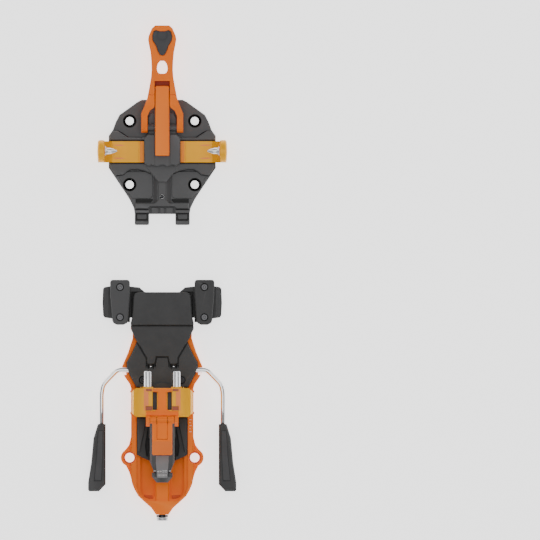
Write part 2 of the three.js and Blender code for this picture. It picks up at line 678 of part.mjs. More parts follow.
function springChamber() {
  return rod(6.8, [0, -12.9, RELEASE_Z], [0, -70, RELEASE_Z], 20);
}

// The release spring's tube at the back of the turret.
function springHousing() {
  const section = [[5.4, 40], [8.8, 36.8], [10.4, 31], [10.4, 24.6], [8, 19], [4.6, 17.3]];
  const bar = barY([...section, ...section.map(([x, z]) => [-x, z]).reverse()], -58.2, -12.7);
  const plan = slab(mirrored([[10.5, -12], [10.5, -48.9], [7.4, -56.4], [7.4, -60]]), 0, 60);
  const slot = box(-2.4, 2.4, -46.9, -36.2, RELEASE_Z + 3, FAR);
  return cut(bar.intersect(plan), springChamber(), slot);
}

function releaseSpring() {
  return coil(4.6, 21, 5, 0.9, [0, -36.4, RELEASE_Z], [0, 1, 0]);
}

function releaseIndicator() {
  const plunger = rod(6.4, [0, -42.4, RELEASE_Z], [0, -38, RELEASE_Z], 16);
  const pointer = box(-2.1, 2.1, -45.6, -41.2, RELEASE_Z - 2, 38.6);
  return join(plunger, pointer);
}

function releaseNut() {
  const profile = [
    [0, -46.6], [6.5, -46.6], [6.5, -58.5], [8.5, -58.5], [8.5, -62.2], [4.8, -66.8], [0, -66.8],
  ].reverse();
  const slot = box(-4, 4, -70, -65.4, RELEASE_Z - 0.8, RELEASE_Z + 0.8);
  const pointerRoom = rod(3.2, [0, -60, RELEASE_Z], [0, -46, RELEASE_Z], 12);
  return cut(turned(profile, [0, 0, RELEASE_Z], [0, 1, 0], 24), slot, pointerRoom);
}

// The saddle on top of the turret, with the lugs for the risers' axle.
function riserSaddle() {
  const plate = slab(mirrored([
    [7.9, 11.2], [7.9, 8.5], [3.7, 8], [3.7, -5.6], [6, -7.5], [13.5, -7.5], [13.5, -11.5],
  ]), TURRET_TOP + GAP, 48.5, 0.4);
  const lugs = bothSides((side) => boxOn(side, 10.4, 13.5, -20.3, -11, TURRET_TOP + GAP, 53.4));
  const rounding = barX([
    [-7.4, 40], [-7.4, 48.5], [-11, 49.8], ...arc(RISER_AXLE.y, RISER_AXLE.z, 3.4, 40, 180, 7),
    [-20.3, 47.4], [-20.3, 46.3], [-18, 40],
  ], -14, 14);
  return cut(join(plate, lugs.intersect(rounding)), riserAxle(GAP));
}

function riserAxle(clearance = 0) {
  const { y, z, radius } = RISER_AXLE;
  return rod(radius + clearance, [-13.3 - 2 * clearance, y, z], [13.3 + 2 * clearance, y, z], 12);
}

function knuckle(x0, x1) {
  return rod(3, [x0, RISER_AXLE.y, RISER_AXLE.z], [x1, RISER_AXLE.y, RISER_AXLE.z], 18);
}

// The low riser is a frame; the high riser is a tongue that lies inside it.
function riserFlapLow() {
  const frame = slab(mirrored([[8.3, -15], [8.3, -43.2], [7.4, -44]]), 49, 52.2, 0.4);
  const window = box(-4.7, 4.7, -31.3, 0, 40, 60);
  const knuckles = join(knuckle(4.7, 10.1), knuckle(-10.1, -4.7));
  return cut(join(cut(frame, window), knuckles), riserAxle(GAP));
}

function riserFlapHigh() {
  const tongue = slab(mirrored([[4.3, -15], [4.3, -30.4], [3.8, -30.9]]), 49, 52.2, 0.3);
  const foot = slab(mirrored([[4.3, -23], [4.3, -28.2], [3.8, -28.7]]), 42.8, 50, 0.4);
  return cut(join(tongue, foot, knuckle(-4.3, 4.3)), riserAxle(GAP));
}

function buildHeel() {
  const heel = new THREE.Group();
  heel.position.y = HEEL_Y;
  heel.add(
    piece('heel_base', heelBase(), orange),
    piece('brake_housing', brakeHousing(), darkPlastic),
    piece('brake_spring', coil(2.7, 9, 5, 0.45, [-4.5, BRAKE_AXLE.y, BRAKE_AXLE.z], [1, 0, 0]), steel),
    piece('brake_pedal', brakePedal(), darkPlastic),
    piece('spacer_platform', platform(), darkPlastic),
    piece('spacer_beam', beam(), darkPlastic),
    piece('carriage', carriage(), darkPlastic),
    piece('lead_nut', leadNut(), brass),
    piece('lead_screw', leadScrew(), steel),
    piece('screw_collar', screwCollar(), blackSteel),
    piece('turret_flange', turretFlange(), darkPlastic),
    piece('turret_post', turretPost(), blackSteel),
    piece('heel_housing', heelHousing(), gold),
    piece('spring_housing', springHousing(), darkPlastic),
    piece('release_spring', releaseSpring(), steel),
    piece('release_indicator', releaseIndicator(), darkPlastic),
    piece('release_nut', releaseNut(), darkPlastic),
    piece('riser_saddle', riserSaddle(), orange),
    piece('riser_axle', riserAxle(), steel),
    piece('riser_flap_low', riserFlapLow(), orange),
    piece('riser_flap_high', riserFlapHigh(), orange),
  );
  for (const [hand, side] of [['left', -1], ['right', 1]]) {
    heel.add(
      piece(`housing_screw_${hand}`, housingScrew(side), blackSteel),
      piece(`brake_wire_${hand}`, bentWire(WIRE_RADIUS, wirePath(side)), steel),
      piece(`brake_grip_${hand}`, brakeGrip(side), darkPlastic),
      piece(`contact_pad_${hand}`, contactPad(side), darkPlastic),
      piece(`heel_pin_${hand}`, heelPin(side), steel),
      piece(`pin_pivot_${hand}`, pinPivot(side), blackSteel),
    );
  }
  padScrewPlaces.forEach(([x, y], i) => {
    heel.add(piece(`pad_screw_${i + 1}`, padScrew(x, y), blackSteel));
  });
  return heel;
}

const binding = new THREE.Group();
binding.add(buildToe(), buildHeel());

export default binding;
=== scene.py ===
"""Looks of the touring binding: finishes for the CAD pieces, fine detail, light and camera."""

import json
import math
from typing import NamedTuple

import bmesh
import bpy
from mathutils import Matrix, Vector


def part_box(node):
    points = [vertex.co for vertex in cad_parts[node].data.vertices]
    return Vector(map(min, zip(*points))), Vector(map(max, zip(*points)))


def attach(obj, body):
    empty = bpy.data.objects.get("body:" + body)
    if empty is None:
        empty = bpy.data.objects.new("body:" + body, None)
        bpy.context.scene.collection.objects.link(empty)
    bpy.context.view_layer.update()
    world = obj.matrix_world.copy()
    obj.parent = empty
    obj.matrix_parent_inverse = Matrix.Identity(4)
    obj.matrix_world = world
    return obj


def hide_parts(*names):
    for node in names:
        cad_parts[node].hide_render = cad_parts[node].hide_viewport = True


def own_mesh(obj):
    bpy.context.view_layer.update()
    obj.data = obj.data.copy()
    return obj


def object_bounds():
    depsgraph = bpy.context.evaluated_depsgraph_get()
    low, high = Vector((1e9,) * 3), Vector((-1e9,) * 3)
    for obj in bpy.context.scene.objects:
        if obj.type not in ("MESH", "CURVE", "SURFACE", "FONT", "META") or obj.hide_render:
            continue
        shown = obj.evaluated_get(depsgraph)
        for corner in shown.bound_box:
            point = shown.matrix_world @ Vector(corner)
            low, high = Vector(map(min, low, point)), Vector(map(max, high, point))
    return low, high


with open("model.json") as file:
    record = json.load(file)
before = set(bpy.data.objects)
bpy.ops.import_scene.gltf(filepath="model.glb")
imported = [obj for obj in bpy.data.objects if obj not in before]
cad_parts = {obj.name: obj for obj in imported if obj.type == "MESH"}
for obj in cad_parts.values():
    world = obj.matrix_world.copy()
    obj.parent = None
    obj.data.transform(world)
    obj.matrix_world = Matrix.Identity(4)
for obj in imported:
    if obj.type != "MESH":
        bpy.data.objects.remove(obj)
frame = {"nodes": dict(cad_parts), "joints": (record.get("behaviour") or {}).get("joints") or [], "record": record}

MM = 0.001
HANDS = (("left", -1), ("right", 1))

cad_box = [list(corner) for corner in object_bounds()]
joints = {joint["name"]: joint for joint in frame["joints"]}
slot_of = {part["node"]: part["material_slot"] for part in frame["record"]["subparts"]}


def pivot(name):
    return Vector(joints[name]["pos_m"])


# ---- Materials ----------------------------------------------------------------------------

EVEN = (1, 1, 1)                # a grain that is the same in all directions
DRAWN_ALONG_Y = (1, 0.05, 1)
TURNED_ALONG_Y = (1, 0.1, 1)

TONE_BAND = (0.35, 0.65)        # noise values at which the tone is darkest and lightest
WEAR_BAND = 0.12                # how fast an edge goes from coated to worn
SMOOTHEST = 0.02                # no patch of a material is smoother than this


class Finish:
    """A procedural material, built up from a few kinds of detail."""

    def __init__(self, name, colour, roughness, metallic=0.0, specular=0.5):
        self.material = bpy.data.materials.new(name)
        self.material.use_nodes = True
        self.tree = self.material.node_tree
        self.shader = self.tree.nodes["Principled BSDF"]
        self.colour = colour
        self.roughness = roughness
        self.shader.inputs["Metallic"].default_value = metallic
        self.shader.inputs["Specular IOR Level"].default_value = specular
        self.normal = None

    def node(self, kind, **values):
        made = self.tree.nodes.new(kind)
        for key, value in values.items():
            if key in made.inputs:
                made.inputs[key].default_value = value
            else:
                setattr(made, key, value)
        return made

    def link(self, start, end):
        self.tree.links.new(start, end)

    def place(self, stretch=EVEN):
        """Object coordinates, stretched so that a brushed or drawn grain runs one way."""
        coordinates = self.node("ShaderNodeTexCoord")
        mapping = self.node("ShaderNodeMapping")
        mapping.inputs["Scale"].default_value = stretch
        self.link(coordinates.outputs["Object"], mapping.inputs["Vector"])
        return mapping.outputs["Vector"]

    def noise(self, per_metre, detail=3.0, stretch=EVEN):
        texture = self.node("ShaderNodeTexNoise", Scale=per_metre, Detail=detail)
        self.link(self.place(stretch), texture.inputs["Vector"])
        return texture.outputs["Fac"]

    def ramp(self, factor, stops):
        """Two colours blended between two positions."""
        ramp = self.node("ShaderNodeValToRGB")
        for element, (position, colour) in zip(ramp.color_ramp.elements, stops):
            element.position = position
            element.color = (*colour, 1)
        self.link(factor, ramp.inputs["Fac"])
        return ramp.outputs["Color"]

    def vary(self, per_metre, amount):
        """Slow change of tone over the piece."""
        dark = [c * (1 - amount) for c in self.colour]
        light = [min(1, c * (1 + amount)) for c in self.colour]
        return self.ramp(self.noise(per_metre), zip(TONE_BAND, (dark, light)))

    def wear(self, colour, worn, threshold=0.56):
        """Edges rubbed lighter than the faces."""
        geometry = self.node("ShaderNodeNewGeometry")
        stops = [(threshold, (0, 0, 0)), (threshold + WEAR_BAND, (1, 1, 1))]
        mix = self.node("ShaderNodeMix", data_type="RGBA")
        self.link(self.ramp(geometry.outputs["Pointiness"], stops), mix.inputs["Factor"])
        self.link(colour, mix.inputs["A"])
        mix.inputs["B"].default_value = (*worn, 1)
        return mix.outputs["Result"]

    def rough(self, per_metre, spread, stretch=EVEN):
        """Patches a little smoother and a little rougher than the piece as a whole."""
        reach = self.node("ShaderNodeMapRange")
        reach.inputs["To Min"].default_value = max(SMOOTHEST, self.roughness - spread)
        reach.inputs["To Max"].default_value = self.roughness + spread
        self.link(self.noise(per_metre, 4.0, stretch), reach.inputs["Value"])
        self.link(reach.outputs["Result"], self.shader.inputs["Roughness"])

    def bump(self, height, depth_mm, strength):
        bump = self.node("ShaderNodeBump", Strength=strength, Distance=depth_mm * MM)
        self.link(height, bump.inputs["Height"])
        if self.normal:
            self.link(self.normal, bump.inputs["Normal"])
        self.normal = bump.outputs["Normal"]
        self.link(self.normal, self.shader.inputs["Normal"])

    def paint(self, colour):
        self.link(colour, self.shader.inputs["Base Color"])
        return self


def anodised(name, colour, roughness, worn):
    """Bead-blasted aluminium with a dyed oxide layer; the same finish also carries the painted shades."""
    finish = Finish(name, colour, roughness, metallic=0.15, specular=0.3)
    finish.rough(per_metre=700, spread=0.07)
    finish.bump(finish.noise(per_metre=9000, detail=2.0), depth_mm=0.012, strength=0.5)
    finish.bump(finish.noise(per_metre=60, detail=2.0), depth_mm=0.05, strength=0.15)
    return finish.paint(finish.wear(finish.vary(per_metre=45, amount=0.05), worn)).material


def moulded(name, colour, roughness, worn, grain_mm=0.02):
    """Glass-filled nylon with a spark-eroded grain."""
    finish = Finish(name, colour, roughness, specular=0.4)
    finish.rough(per_metre=500, spread=0.08)
    finish.bump(finish.noise(per_metre=5200, detail=4.0), depth_mm=grain_mm, strength=0.5)
    tone = finish.vary(per_metre=80, amount=0.08)
    return finish.paint(finish.wear(tone, worn, threshold=0.54)).material


def turned_steel(name, colour, roughness, stretch):
    """Hardened steel with the fine marks of turning or drawing along one direction."""
    finish = Finish(name, colour, roughness, metallic=1.0)
    finish.rough(900, 0.06, stretch)
    finish.bump(finish.noise(2500, 3.0, stretch), depth_mm=0.01, strength=0.35)
    return finish.paint(finish.vary(per_metre=120, amount=0.04)).material


def printed(name, colour, roughness=0.5):
    """Matt ink."""
    finish = Finish(name, colour, roughness)
    finish.rough(per_metre=900, spread=0.08)
    return finish.paint(finish.vary(per_metre=400, amount=0.03)).material


FINISHES = {
    "orange_alloy": anodised("orange_alloy", (1.0, 0.185, 0.0), 0.5, (1.0, 0.24, 0.02)),
    "gold_alloy": anodised("gold_alloy", (1.0, 0.45, 0.0), 0.42, (1.0, 0.5, 0.02)),
    "grey_alloy": anodised("grey_alloy", (0.09, 0.09, 0.092), 0.5, (0.13, 0.13, 0.135)),
    "dark_plastic": moulded("dark_plastic", (0.047, 0.047, 0.048), 0.6, (0.07, 0.07, 0.072)),
    "black_steel": turned_steel("black_steel", (0.035, 0.035, 0.038), 0.35, EVEN),
    "bright_steel": turned_steel("bright_steel", (0.86, 0.86, 0.88), 0.34, DRAWN_ALONG_Y),
    "chromed_wire": turned_steel("chromed_wire", (0.9, 0.9, 0.91), 0.12, EVEN),
    "brass": turned_steel("brass", (0.72, 0.45, 0.14), 0.3, TURNED_ALONG_Y),
}

# Looks that only a few small pieces have
RUBBER = moulded("pad_rubber", (0.066, 0.066, 0.07), 0.7, (0.1, 0.1, 0.1), grain_mm=0.04)
PANEL = moulded("etched_panel", (0.19, 0.19, 0.195), 0.62, (0.26, 0.26, 0.26), grain_mm=0.09)
# Painted shade for the groove around a brake grip's panel
GROOVE_SHADE = moulded("painted_groove_shade", (0.022, 0.022, 0.023), 0.6, (0.03, 0.03, 0.03))
# Copper of the pin covers, and also painted shade in the wing grooves and on the inner faces of the pin barrels
COPPER_AND_PAINTED_SHADE = anodised("copper_and_painted_shade", (0.95, 0.27, 0.08), 0.45, (1.0, 0.36, 0.14))
# Painted shade in the catch pockets and on the pin lips of the turret
BROWN_SHADE = anodised("painted_brown_shade", (0.36, 0.105, 0.055), 0.5, (0.5, 0.18, 0.1))
# Painted shadow in holes, gaps, slots and grooves and at the foot of walls
PAINTED_SHADOW = anodised("painted_shadow", (0.006, 0.006, 0.006), 0.5, (0.03, 0.03, 0.03))
DARK_METAL = anodised("dark_metal", (0.06, 0.065, 0.07), 0.4, (0.12, 0.12, 0.12))
# Painted shade at the channel ends, in the lever's crease and in the ear-hole seats
ORANGE_SHADE = anodised("painted_orange_shade", (0.62, 0.1, 0.012), 0.5, (0.8, 0.2, 0.04))
# Painted shade for the web under the lever
RED_SHADE = anodised("painted_red_shade", (0.3, 0.03, 0.008), 0.5, (0.4, 0.06, 0.02))
# Painted shade for the band where a wing's slope changes
PAINTED_GOLD_SHADE = anodised("painted_gold_shade", (0.9, 0.24, 0.008), 0.4, (1.0, 0.36, 0.04))
TREAD = anodised("riser_tread", (0.85, 0.17, 0.015), 0.5, (0.9, 0.25, 0.05))
SCREW_HEAD = turned_steel("screw_head_finish", (0.115, 0.115, 0.12), 0.42, EVEN)
DULL_STEEL = turned_steel("dull_steel", (0.55, 0.55, 0.57), 0.45, TURNED_ALONG_Y)
WHITE_PRINT = printed("white_print", (0.9, 0.9, 0.9))


# ---- Meshes -------------------------------------------------------------------------------

EDGE_SEGMENTS = 2
SHARP_ANGLE = math.radians(32)      # faces that meet at more than this get a rounded edge
WELD_DISTANCE = 0.01 * MM
LONGEST_BEND = 0.48                 # share of a straight leg that the bend at one end may take


def show(name, mesh, body, slot, material=None, smooth=True):
    """Puts a mesh in the scene; it looks like the rest of its slot unless told otherwise."""
    piece = bpy.data.objects.new(name, mesh)
    bpy.context.scene.collection.objects.link(piece)
    if smooth:
        mesh.polygons.foreach_set("use_smooth", [True] * len(mesh.polygons))
    mesh.materials.append(material or FINISHES[slot])
    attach(piece, body)
    return piece


def soften(piece, width_mm):
    """Rounds the edges, as a moulded or machined piece has them."""
    weld = piece.modifiers.new("weld", "WELD")
    weld.merge_threshold = WELD_DISTANCE
    bevel = piece.modifiers.new("edges", "BEVEL")
    bevel.width = width_mm * MM
    bevel.segments = EDGE_SEGMENTS
    bevel.limit_method = "ANGLE"
    bevel.angle_limit = SHARP_ANGLE
    bevel.harden_normals = True
    bevel.miter_outer = "MITER_ARC"


def axes_along(direction):
    """The given direction and two directions square to it."""
    along = Vector(direction).normalized()
    side = along.orthogonal().normalized()
    return along, side, along.cross(side)


def closed(bm, name):
    """The finished mesh, with all its faces turned outwards."""
    bmesh.ops.recalc_face_normals(bm, faces=bm.faces)
    mesh = bpy.data.meshes.new(name)
    bm.to_mesh(mesh)
    bm.free()
    return mesh


def circle(centre, side, up, radius_mm, count):
    """Points evenly round a circle that lies in the plane of two directions."""
    angles = [2 * math.pi * i / count for i in range(count)]
    spokes = [side * math.cos(a) + up * math.sin(a) for a in angles]
    return [centre + spoke * radius_mm * MM for spoke in spokes]


def skin(sections, name):
    """A closed mesh over a row of sections, each a list with the same number of points."""
    bm = bmesh.new()
    rings = [[bm.verts.new(point) for point in section] for section in sections]
    count = len(rings[0])
    for first, second in zip(rings, rings[1:]):
        for i in range(count):
            after = (i + 1) % count
            bm.faces.new([first[i], first[after], second[after], second[i]])
    bm.faces.new(rings[0][::-1])
    bm.faces.new(rings[-1])
    return closed(bm, name)


def lathe(profile_mm, origin, direction, sides=48):
    """A turned mesh; profile points are (radius, distance along the axis)."""
    along, side, up = axes_along(direction)
    bm = bmesh.new()
    rings = []
    for radius, distance in profile_mm:
        centre = Vector(origin) + along * distance * MM
        points = circle(centre, side, up, radius, sides) if radius else [centre]
        rings.append([bm.verts.new(point) for point in points])
    for first, second in zip(rings, rings[1:]):
        for i in range(sides):
            corners = [first[i % len(first)], first[(i + 1) % len(first)]]
            corners += [second[(i + 1) % len(second)], second[i % len(second)]]
            unique = list(dict.fromkeys(corners))
            if len(unique) > 2:
                bm.faces.new(unique)
    return closed(bm, "turned")


def tube(points, radius_mm, sides, name):
    """A round bar along a list of points."""
    points = [Vector(p) for p in points]
    sections = []
    side = None
    for i, point in enumerate(points):
        ahead = points[min(i + 1, len(points) - 1)] - points[max(i - 1, 0)]
        along = ahead.normalized()
        side = along.orthogonal() if side is None else side - along * side.dot(along)
        side.normalize()
        sections.append(circle(point, side, along.cross(side), radius_mm, sides))
    return skin(sections, name)


def prism(outline, low, high, name):
    """A plate with an outline of (x, y) in metres between two heights."""
    return skin([[(x, y, z) for x, y in outline] for z in (low, high)], name)


def helix(origin, direction, radius_mm, length_mm, turns, per_turn=28):
    along, side, up = axes_along(direction)
    points = []
    for i in range(turns * per_turn + 1):
        share = i / (turns * per_turn)
        angle = 2 * math.pi * turns * share
        spoke = (side * math.cos(angle) + up * math.sin(angle)) * radius_mm * MM
        points.append(Vector(origin) + along * length_mm * MM * share + spoke)
    return points


def rounded(points, reach_mm, steps=8):
    """The same path with each inner corner replaced by a smooth bend."""
    def on_leg(corner, other):
        leg = other - corner
        return corner + leg.normalized() * min(reach_mm * MM, leg.length * LONGEST_BEND)

    path = [Vector(points[0])]
    for before, corner, after in zip(points, points[1:], points[2:]):
        start, end = on_leg(corner, before), on_leg(corner, after)
        for i in range(steps + 1):
            t = i / steps
            path.append(start * (1 - t) ** 2 + corner * 2 * t * (1 - t) + end * t ** 2)
    path.append(Vector(points[-1]))
    return path


# ---- CAD pieces ---------------------------------------------------------------------------

EDGES_MM = {
    "toe_base": 0.45, "toe_block": 0.6, "toe_wing_left": 0.7, "toe_wing_right": 0.7,
    "lock_lever": 0.7, "lock_blade": 0.35, "heel_base": 0.6, "heel_housing": 0.8,
    "brake_housing": 0.4, "brake_pedal": 0.5, "spacer_platform": 1.0, "spacer_beam": 0.9,
    "contact_pad_left": 0.6, "contact_pad_right": 0.6, "carriage": 0.35, "spring_housing": 0.6,
    "brake_grip_left": 0.9, "brake_grip_right": 0.9, "lever_thumb_pad": 0.5,
}
SMALL_PIECE_EDGE_MM = 0.2

# Pieces that look different from the rest of their slot
OWN_FINISH = {
    "lever_thumb_pad": RUBBER, "riser_axle": DARK_METAL, "blade_pin": DARK_METAL,
    "pad_screw_1": SCREW_HEAD, "pad_screw_2": SCREW_HEAD,
    "pad_screw_3": SCREW_HEAD, "pad_screw_4": SCREW_HEAD,
}


def finish_cad_piece(name, piece):
    custom = piece.data.attributes.get("custom_normal")
    if custom:
        piece.data.attributes.remove(custom)
    piece.data.polygons.foreach_set("use_smooth", [True] * len(piece.data.polygons))
    piece.data.materials.clear()
    piece.data.materials.append(OWN_FINISH.get(name, FINISHES[slot_of[name]]))
    soften(piece, EDGES_MM.get(name, SMALL_PIECE_EDGE_MM))


for node_name, node_object in frame["nodes"].items():
    finish_cad_piece(node_name, node_object)


# ---- Places and inlays --------------------------------------------------------------------


def middle(node):
    low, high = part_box(node)
    return (Vector(low) + Vector(high)) / 2


def top_mm(node):
    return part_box(node)[1][2] / MM


TOE_PINS_Y = middle("toe_pin_left").y
TURRET_Y = pivot("turret_turn").y


def toe(x, y, z=0.0):
    """A point of the toe unit in millimetres from the toe pin axis."""
    return Vector((x * MM, TOE_PINS_Y + y * MM, z * MM))


def heel(x, y, z=0.0):
    """A point of the heel unit in millimetres from the turret axis."""
    return Vector((x * MM, TURRET_Y + y * MM, z * MM))


def rectangle(x0, x1, y0, y1):
    return [(x0, y1), (x1, y1), (x1, y0), (x0, y0)]


class Inlay(NamedTuple):
    """A thin plate let into a face or raised on it, in millimetres."""

    outline: list                       # corners (x, y), of the right-hand one of a pair
    heights: tuple                      # underside and face, above the ski
    material: bpy.types.Material
    edge: float                         # rounding of the rim


def add_inlay(name, place, inlay, body, slot, side=1):
    corners = [place(side * x, y) for x, y in inlay.outline]
    underside, face = inlay.heights
    mesh = prism([(c.x, c.y) for c in corners], underside * MM, face * MM, name)
    soften(show(name, mesh, body, slot, inlay.material), inlay.edge)


def add_pairs(place, inlays, body, slot):
    """Adds each inlay on both sides; the name of the body may hold {hand}."""
    for hand, side in HANDS:
        for name, inlay in inlays.items():
            add_inlay(f"{name}_{hand}", place, inlay, body.format(hand=hand), slot, side)


# ---- Toe unit -----------------------------------------------------------------------------

TOE_HOLES = {"front": (27, 24.8), "rear": (27, -28)}
TOE_SEAT = [                    # (radius, height)
    (3.35, 0.4), (3.35, 3.0), (5.2, 3.75), (5.3, 5.12), (5.55, 5.12), (5.55, 0.4), (3.35, 0.4),
]
SEAT_RIM_FROM = 4               # the part of a seat above this height is its rim
REAR_PAD_LIFT = 0.7             # the rear pads stand this much higher, and so do their rims


def wing_groove(y):
    """A shallow groove that tapers along the wing; its copper plate is painted shade in the groove."""
    upper = [(30.5, y), (34, y + 0.55), (38, y + 0.6), (41, y + 0.3)]
    return upper + [(38, y - 0.35), (34, y - 0.4)]


def ridge_seam(depth=0.7):
    """Painted shade along the front of the rear pads."""
    front = [
        (9.4, -18.8), (14.4, -16.6), (20, -15.4), (26, -15.4), (29.4, -17.2), (32.2, -19.6),
        (38.2, -20.4),
    ]
    return front + [(x, y - depth) for x, y in front[::-1]]


WING_INLAYS = {
    # Painted shade on the band where the wing's slope changes
    "wing_band": Inlay(rectangle(15.2, 18.4, -9.55, 7.95), (9.0, 9.92), PAINTED_GOLD_SHADE, 0.05),
    # Painted shade in the two grooves of each wing
    "wing_groove_front": Inlay(wing_groove(4.6), (9.4, 9.87), COPPER_AND_PAINTED_SHADE, 0.03),
    "wing_groove_rear": Inlay(wing_groove(-6.2), (9.4, 9.87), COPPER_AND_PAINTED_SHADE, 0.03),
}
# Painted shadow in the receiver, its slot, the pad groove, at the foot of the ridge and along the seam; the
# receiver floor is the base's own grey
TOE_BASE_INLAYS = {
    "receiver_bed": Inlay(rectangle(11.8, 22, -57.8, -51.6), (4.6, 5.1), PAINTED_SHADOW, 0.02),
    "receiver_slot": Inlay(rectangle(11.4, 22.2, -49.1, -48.4), (6.1, 6.6), PAINTED_SHADOW, 0.02),
    "pad_groove": Inlay(
        [(7.9, -40.0), (21.9, -40.0), (21.9, -42.9), (9.6, -42.9), (7.9, -41.2)],
        (3.5, 3.95), PAINTED_SHADOW, 0.02,
    ),
    "ridge_foot": Inlay(
        [(28.4, 11.2), (33, 14), (37.1, 16.7), (37.4, 17.2), (33.2, 15.3), (28.2, 11.7)],
        (4.7, 5.08), PAINTED_SHADOW, 0.02,
    ),
    "ridge_seam": Inlay(ridge_seam(), (4.7, 5.76), PAINTED_SHADOW, 0.02),
    "receiver_floor": Inlay(
        [(13, -52.6), (20.8, -52.6), (20.8, -56), (20.2, -56.6), (13.6, -56.6), (13, -56)],
        (4.6, 5.4), FINISHES["grey_alloy"], 0.15,
    ),
}
BLOCK_SILL = Inlay(rectangle(-13, 13, -12.6, -10.5), (5.2, 9.9), FINISHES["grey_alloy"], 0.1)
# Painted shade along the crease where the lever bends
LEVER_CREASE = [(6.9, 46.9), (11.6, 46.9), (11.7, 46.4), (6.9, 46.4)]
LEVER_INLAYS = {"lever_crease": Inlay(LEVER_CREASE, (18.6, 19.35), ORANGE_SHADE, 0.04)}
# Painted shade on the web under the lever
LEVER_WEB = Inlay(rectangle(-6.25, 6.25, 47, 58.1), (13.6, 14.0), RED_SHADE, 0.04)


def add_toe_pins():
    """Turned pins with a conical point, a neck and a shoulder."""
    profile = [
        (0, 37.3), (0.5, 37.45), (0.85, 37.9), (1.6, 39.7), (2.2, 41.4), (2.5, 43.0), (2.55, 44.8),
        (2.9, 46.0), (3.5, 46.7), (3.7, 47.1), (3.7, 47.5), (2.5, 47.6), (2.5, 51.4), (0, 51.5),
    ]
    for hand, side in HANDS:
        height = middle(f"toe_pin_{hand}").z / MM
        mesh = lathe(profile, toe(0, 0, height), (side, 0, 0), 40)
        pin = show(f"fine_pin_{hand}", mesh, f"wing_{hand}", "bright_steel")
        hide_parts(f"toe_pin_{hand}")


def add_pin_collars():
    """The inner face of the pin barrel, with a turned step, painted copper as the shade that falls on it."""
    face = [
        (3.9, 47.95), (3.9, 47.55), (5.2, 47.5), (5.4, 47.75), (7.6, 47.8), (8.2, 47.95),
        (3.9, 47.95),
    ]
    for hand, side in HANDS:
        height = middle(f"toe_pin_{hand}").z / MM
        mesh = lathe(face, toe(0, -0.3, height), (side, 0, 0))
        show(f"pin_collar_{hand}", mesh, f"wing_{hand}", "gold_alloy", COPPER_AND_PAINTED_SHADE)


def add_neck_flanks(front=-20, rear=-43):
    """Painted shade on the sloping flanks of the neck behind the toe block; the section is (x, z)."""
    section = [(4.1, 7.6), (7.15, 5.32), (7.15, 5.1), (4.1, 7.4)]
    for hand, side in HANDS:
        name = f"neck_flank_{hand}"
        mesh = skin([[toe(side * x, y, z) for x, z in section] for y in (front, rear)], name)
        show(name, mesh, "bases", "grey_alloy", FINISHES["dark_plastic"], smooth=False)


def add_rivet_gap_shade():
    # Painted shadow in the gap round the rivet, where the floor would show through
    rivet = middle("base_rivet")
    profile = [(1.52, 2), (1.78, 2), (1.78, 7.4), (1.52, 7.4), (1.52, 2)]
    mesh = lathe(profile, (rivet.x, rivet.y, 0), (0, 0, 1), 32)
    show("rivet_gap_shade", mesh, "bases", "grey_alloy", PAINTED_SHADOW)


def add_toe_hole_seats():
    """Painted shadow lining the seats for the heads of the mounting screws."""
    for row, (x, y) in TOE_HOLES.items():
        lift = REAR_PAD_LIFT if row == "rear" else 0
        seat = [(r, z + lift if z > SEAT_RIM_FROM else z) for r, z in TOE_SEAT]
        for hand, side in HANDS:
            mesh = lathe(seat, toe(side * x, y), (0, 0, 1), 40)
            show(f"hole_seat_{row}_{hand}", mesh, "bases", "grey_alloy", PAINTED_SHADOW)


# ---- Heel unit ----------------------------------------------------------------------------

WIRE_RADIUS = 2.0
WIRE_BEND = 3.2
SLEEVE_BORE = 2.15
EAR_HOLE = (27, -46.1)
RISER_WINDOW = (49.2, 51.7)     # heights between which the window of the low riser is lined

TURRET_INLAYS = {
    "pin_cover": Inlay(
        [
            (11.4, 8.6), (13.7, 8.6), (13.7, 11), (15.2, 11),
            (15.2, -7), (14, -7), (14, -3.1), (11.4, -3.1),
        ],
        (45.4, 46.3), COPPER_AND_PAINTED_SHADE, 0.1,
    ),
    "pin_lip": Inlay(rectangle(8.6, 13.4, 8.9, 11), (45.4, 46.25), BROWN_SHADE, 0.08),
    "pocket_floor": Inlay(rectangle(8.2, 13.7, -7, -3.5), (44.8, 45.15), BROWN_SHADE, 0.04),
    "window_guide": Inlay(rectangle(4.25, 8.05, -6.65, 8.35), (36.3, 37.2), DARK_METAL, 0.2),
    "saddle_wing": Inlay(rectangle(4.1, 7.6, 8.9, 10.9), (48.2, 48.53), TREAD, 0.05),
}
TURRET_SLOTS = {"window_guide": "black_steel", "saddle_wing": "orange_alloy"}

# Painted shadow in the gap between the platform and the contact pads
BEAM_INLAYS = {
    "beam_rim": Inlay(
        [(25.7, 91.2), (28.6, 91.2), (28.6, 66.8), (26.9, 66.8), (26.9, 70.2), (25.7, 70.2)],
        (12.8, 13.08), PAINTED_SHADOW, 0.02,
    ),
    "beam_floor": Inlay(rectangle(20, 25.5, 70.3, 91.2), (8.8, 9.1), PAINTED_SHADOW, 0.02),
}

# Painted shade at the end faces of the channels beside the lead screw
BASE_INLAYS = {
    "channel_end": Inlay(
        [(7.9, -77.4), (15.4, -76.8), (14.6, -79.2), (12, -80.8), (7.9, -81.2)],
        (3.8, 4.08), ORANGE_SHADE, 0.04,
    ),
}

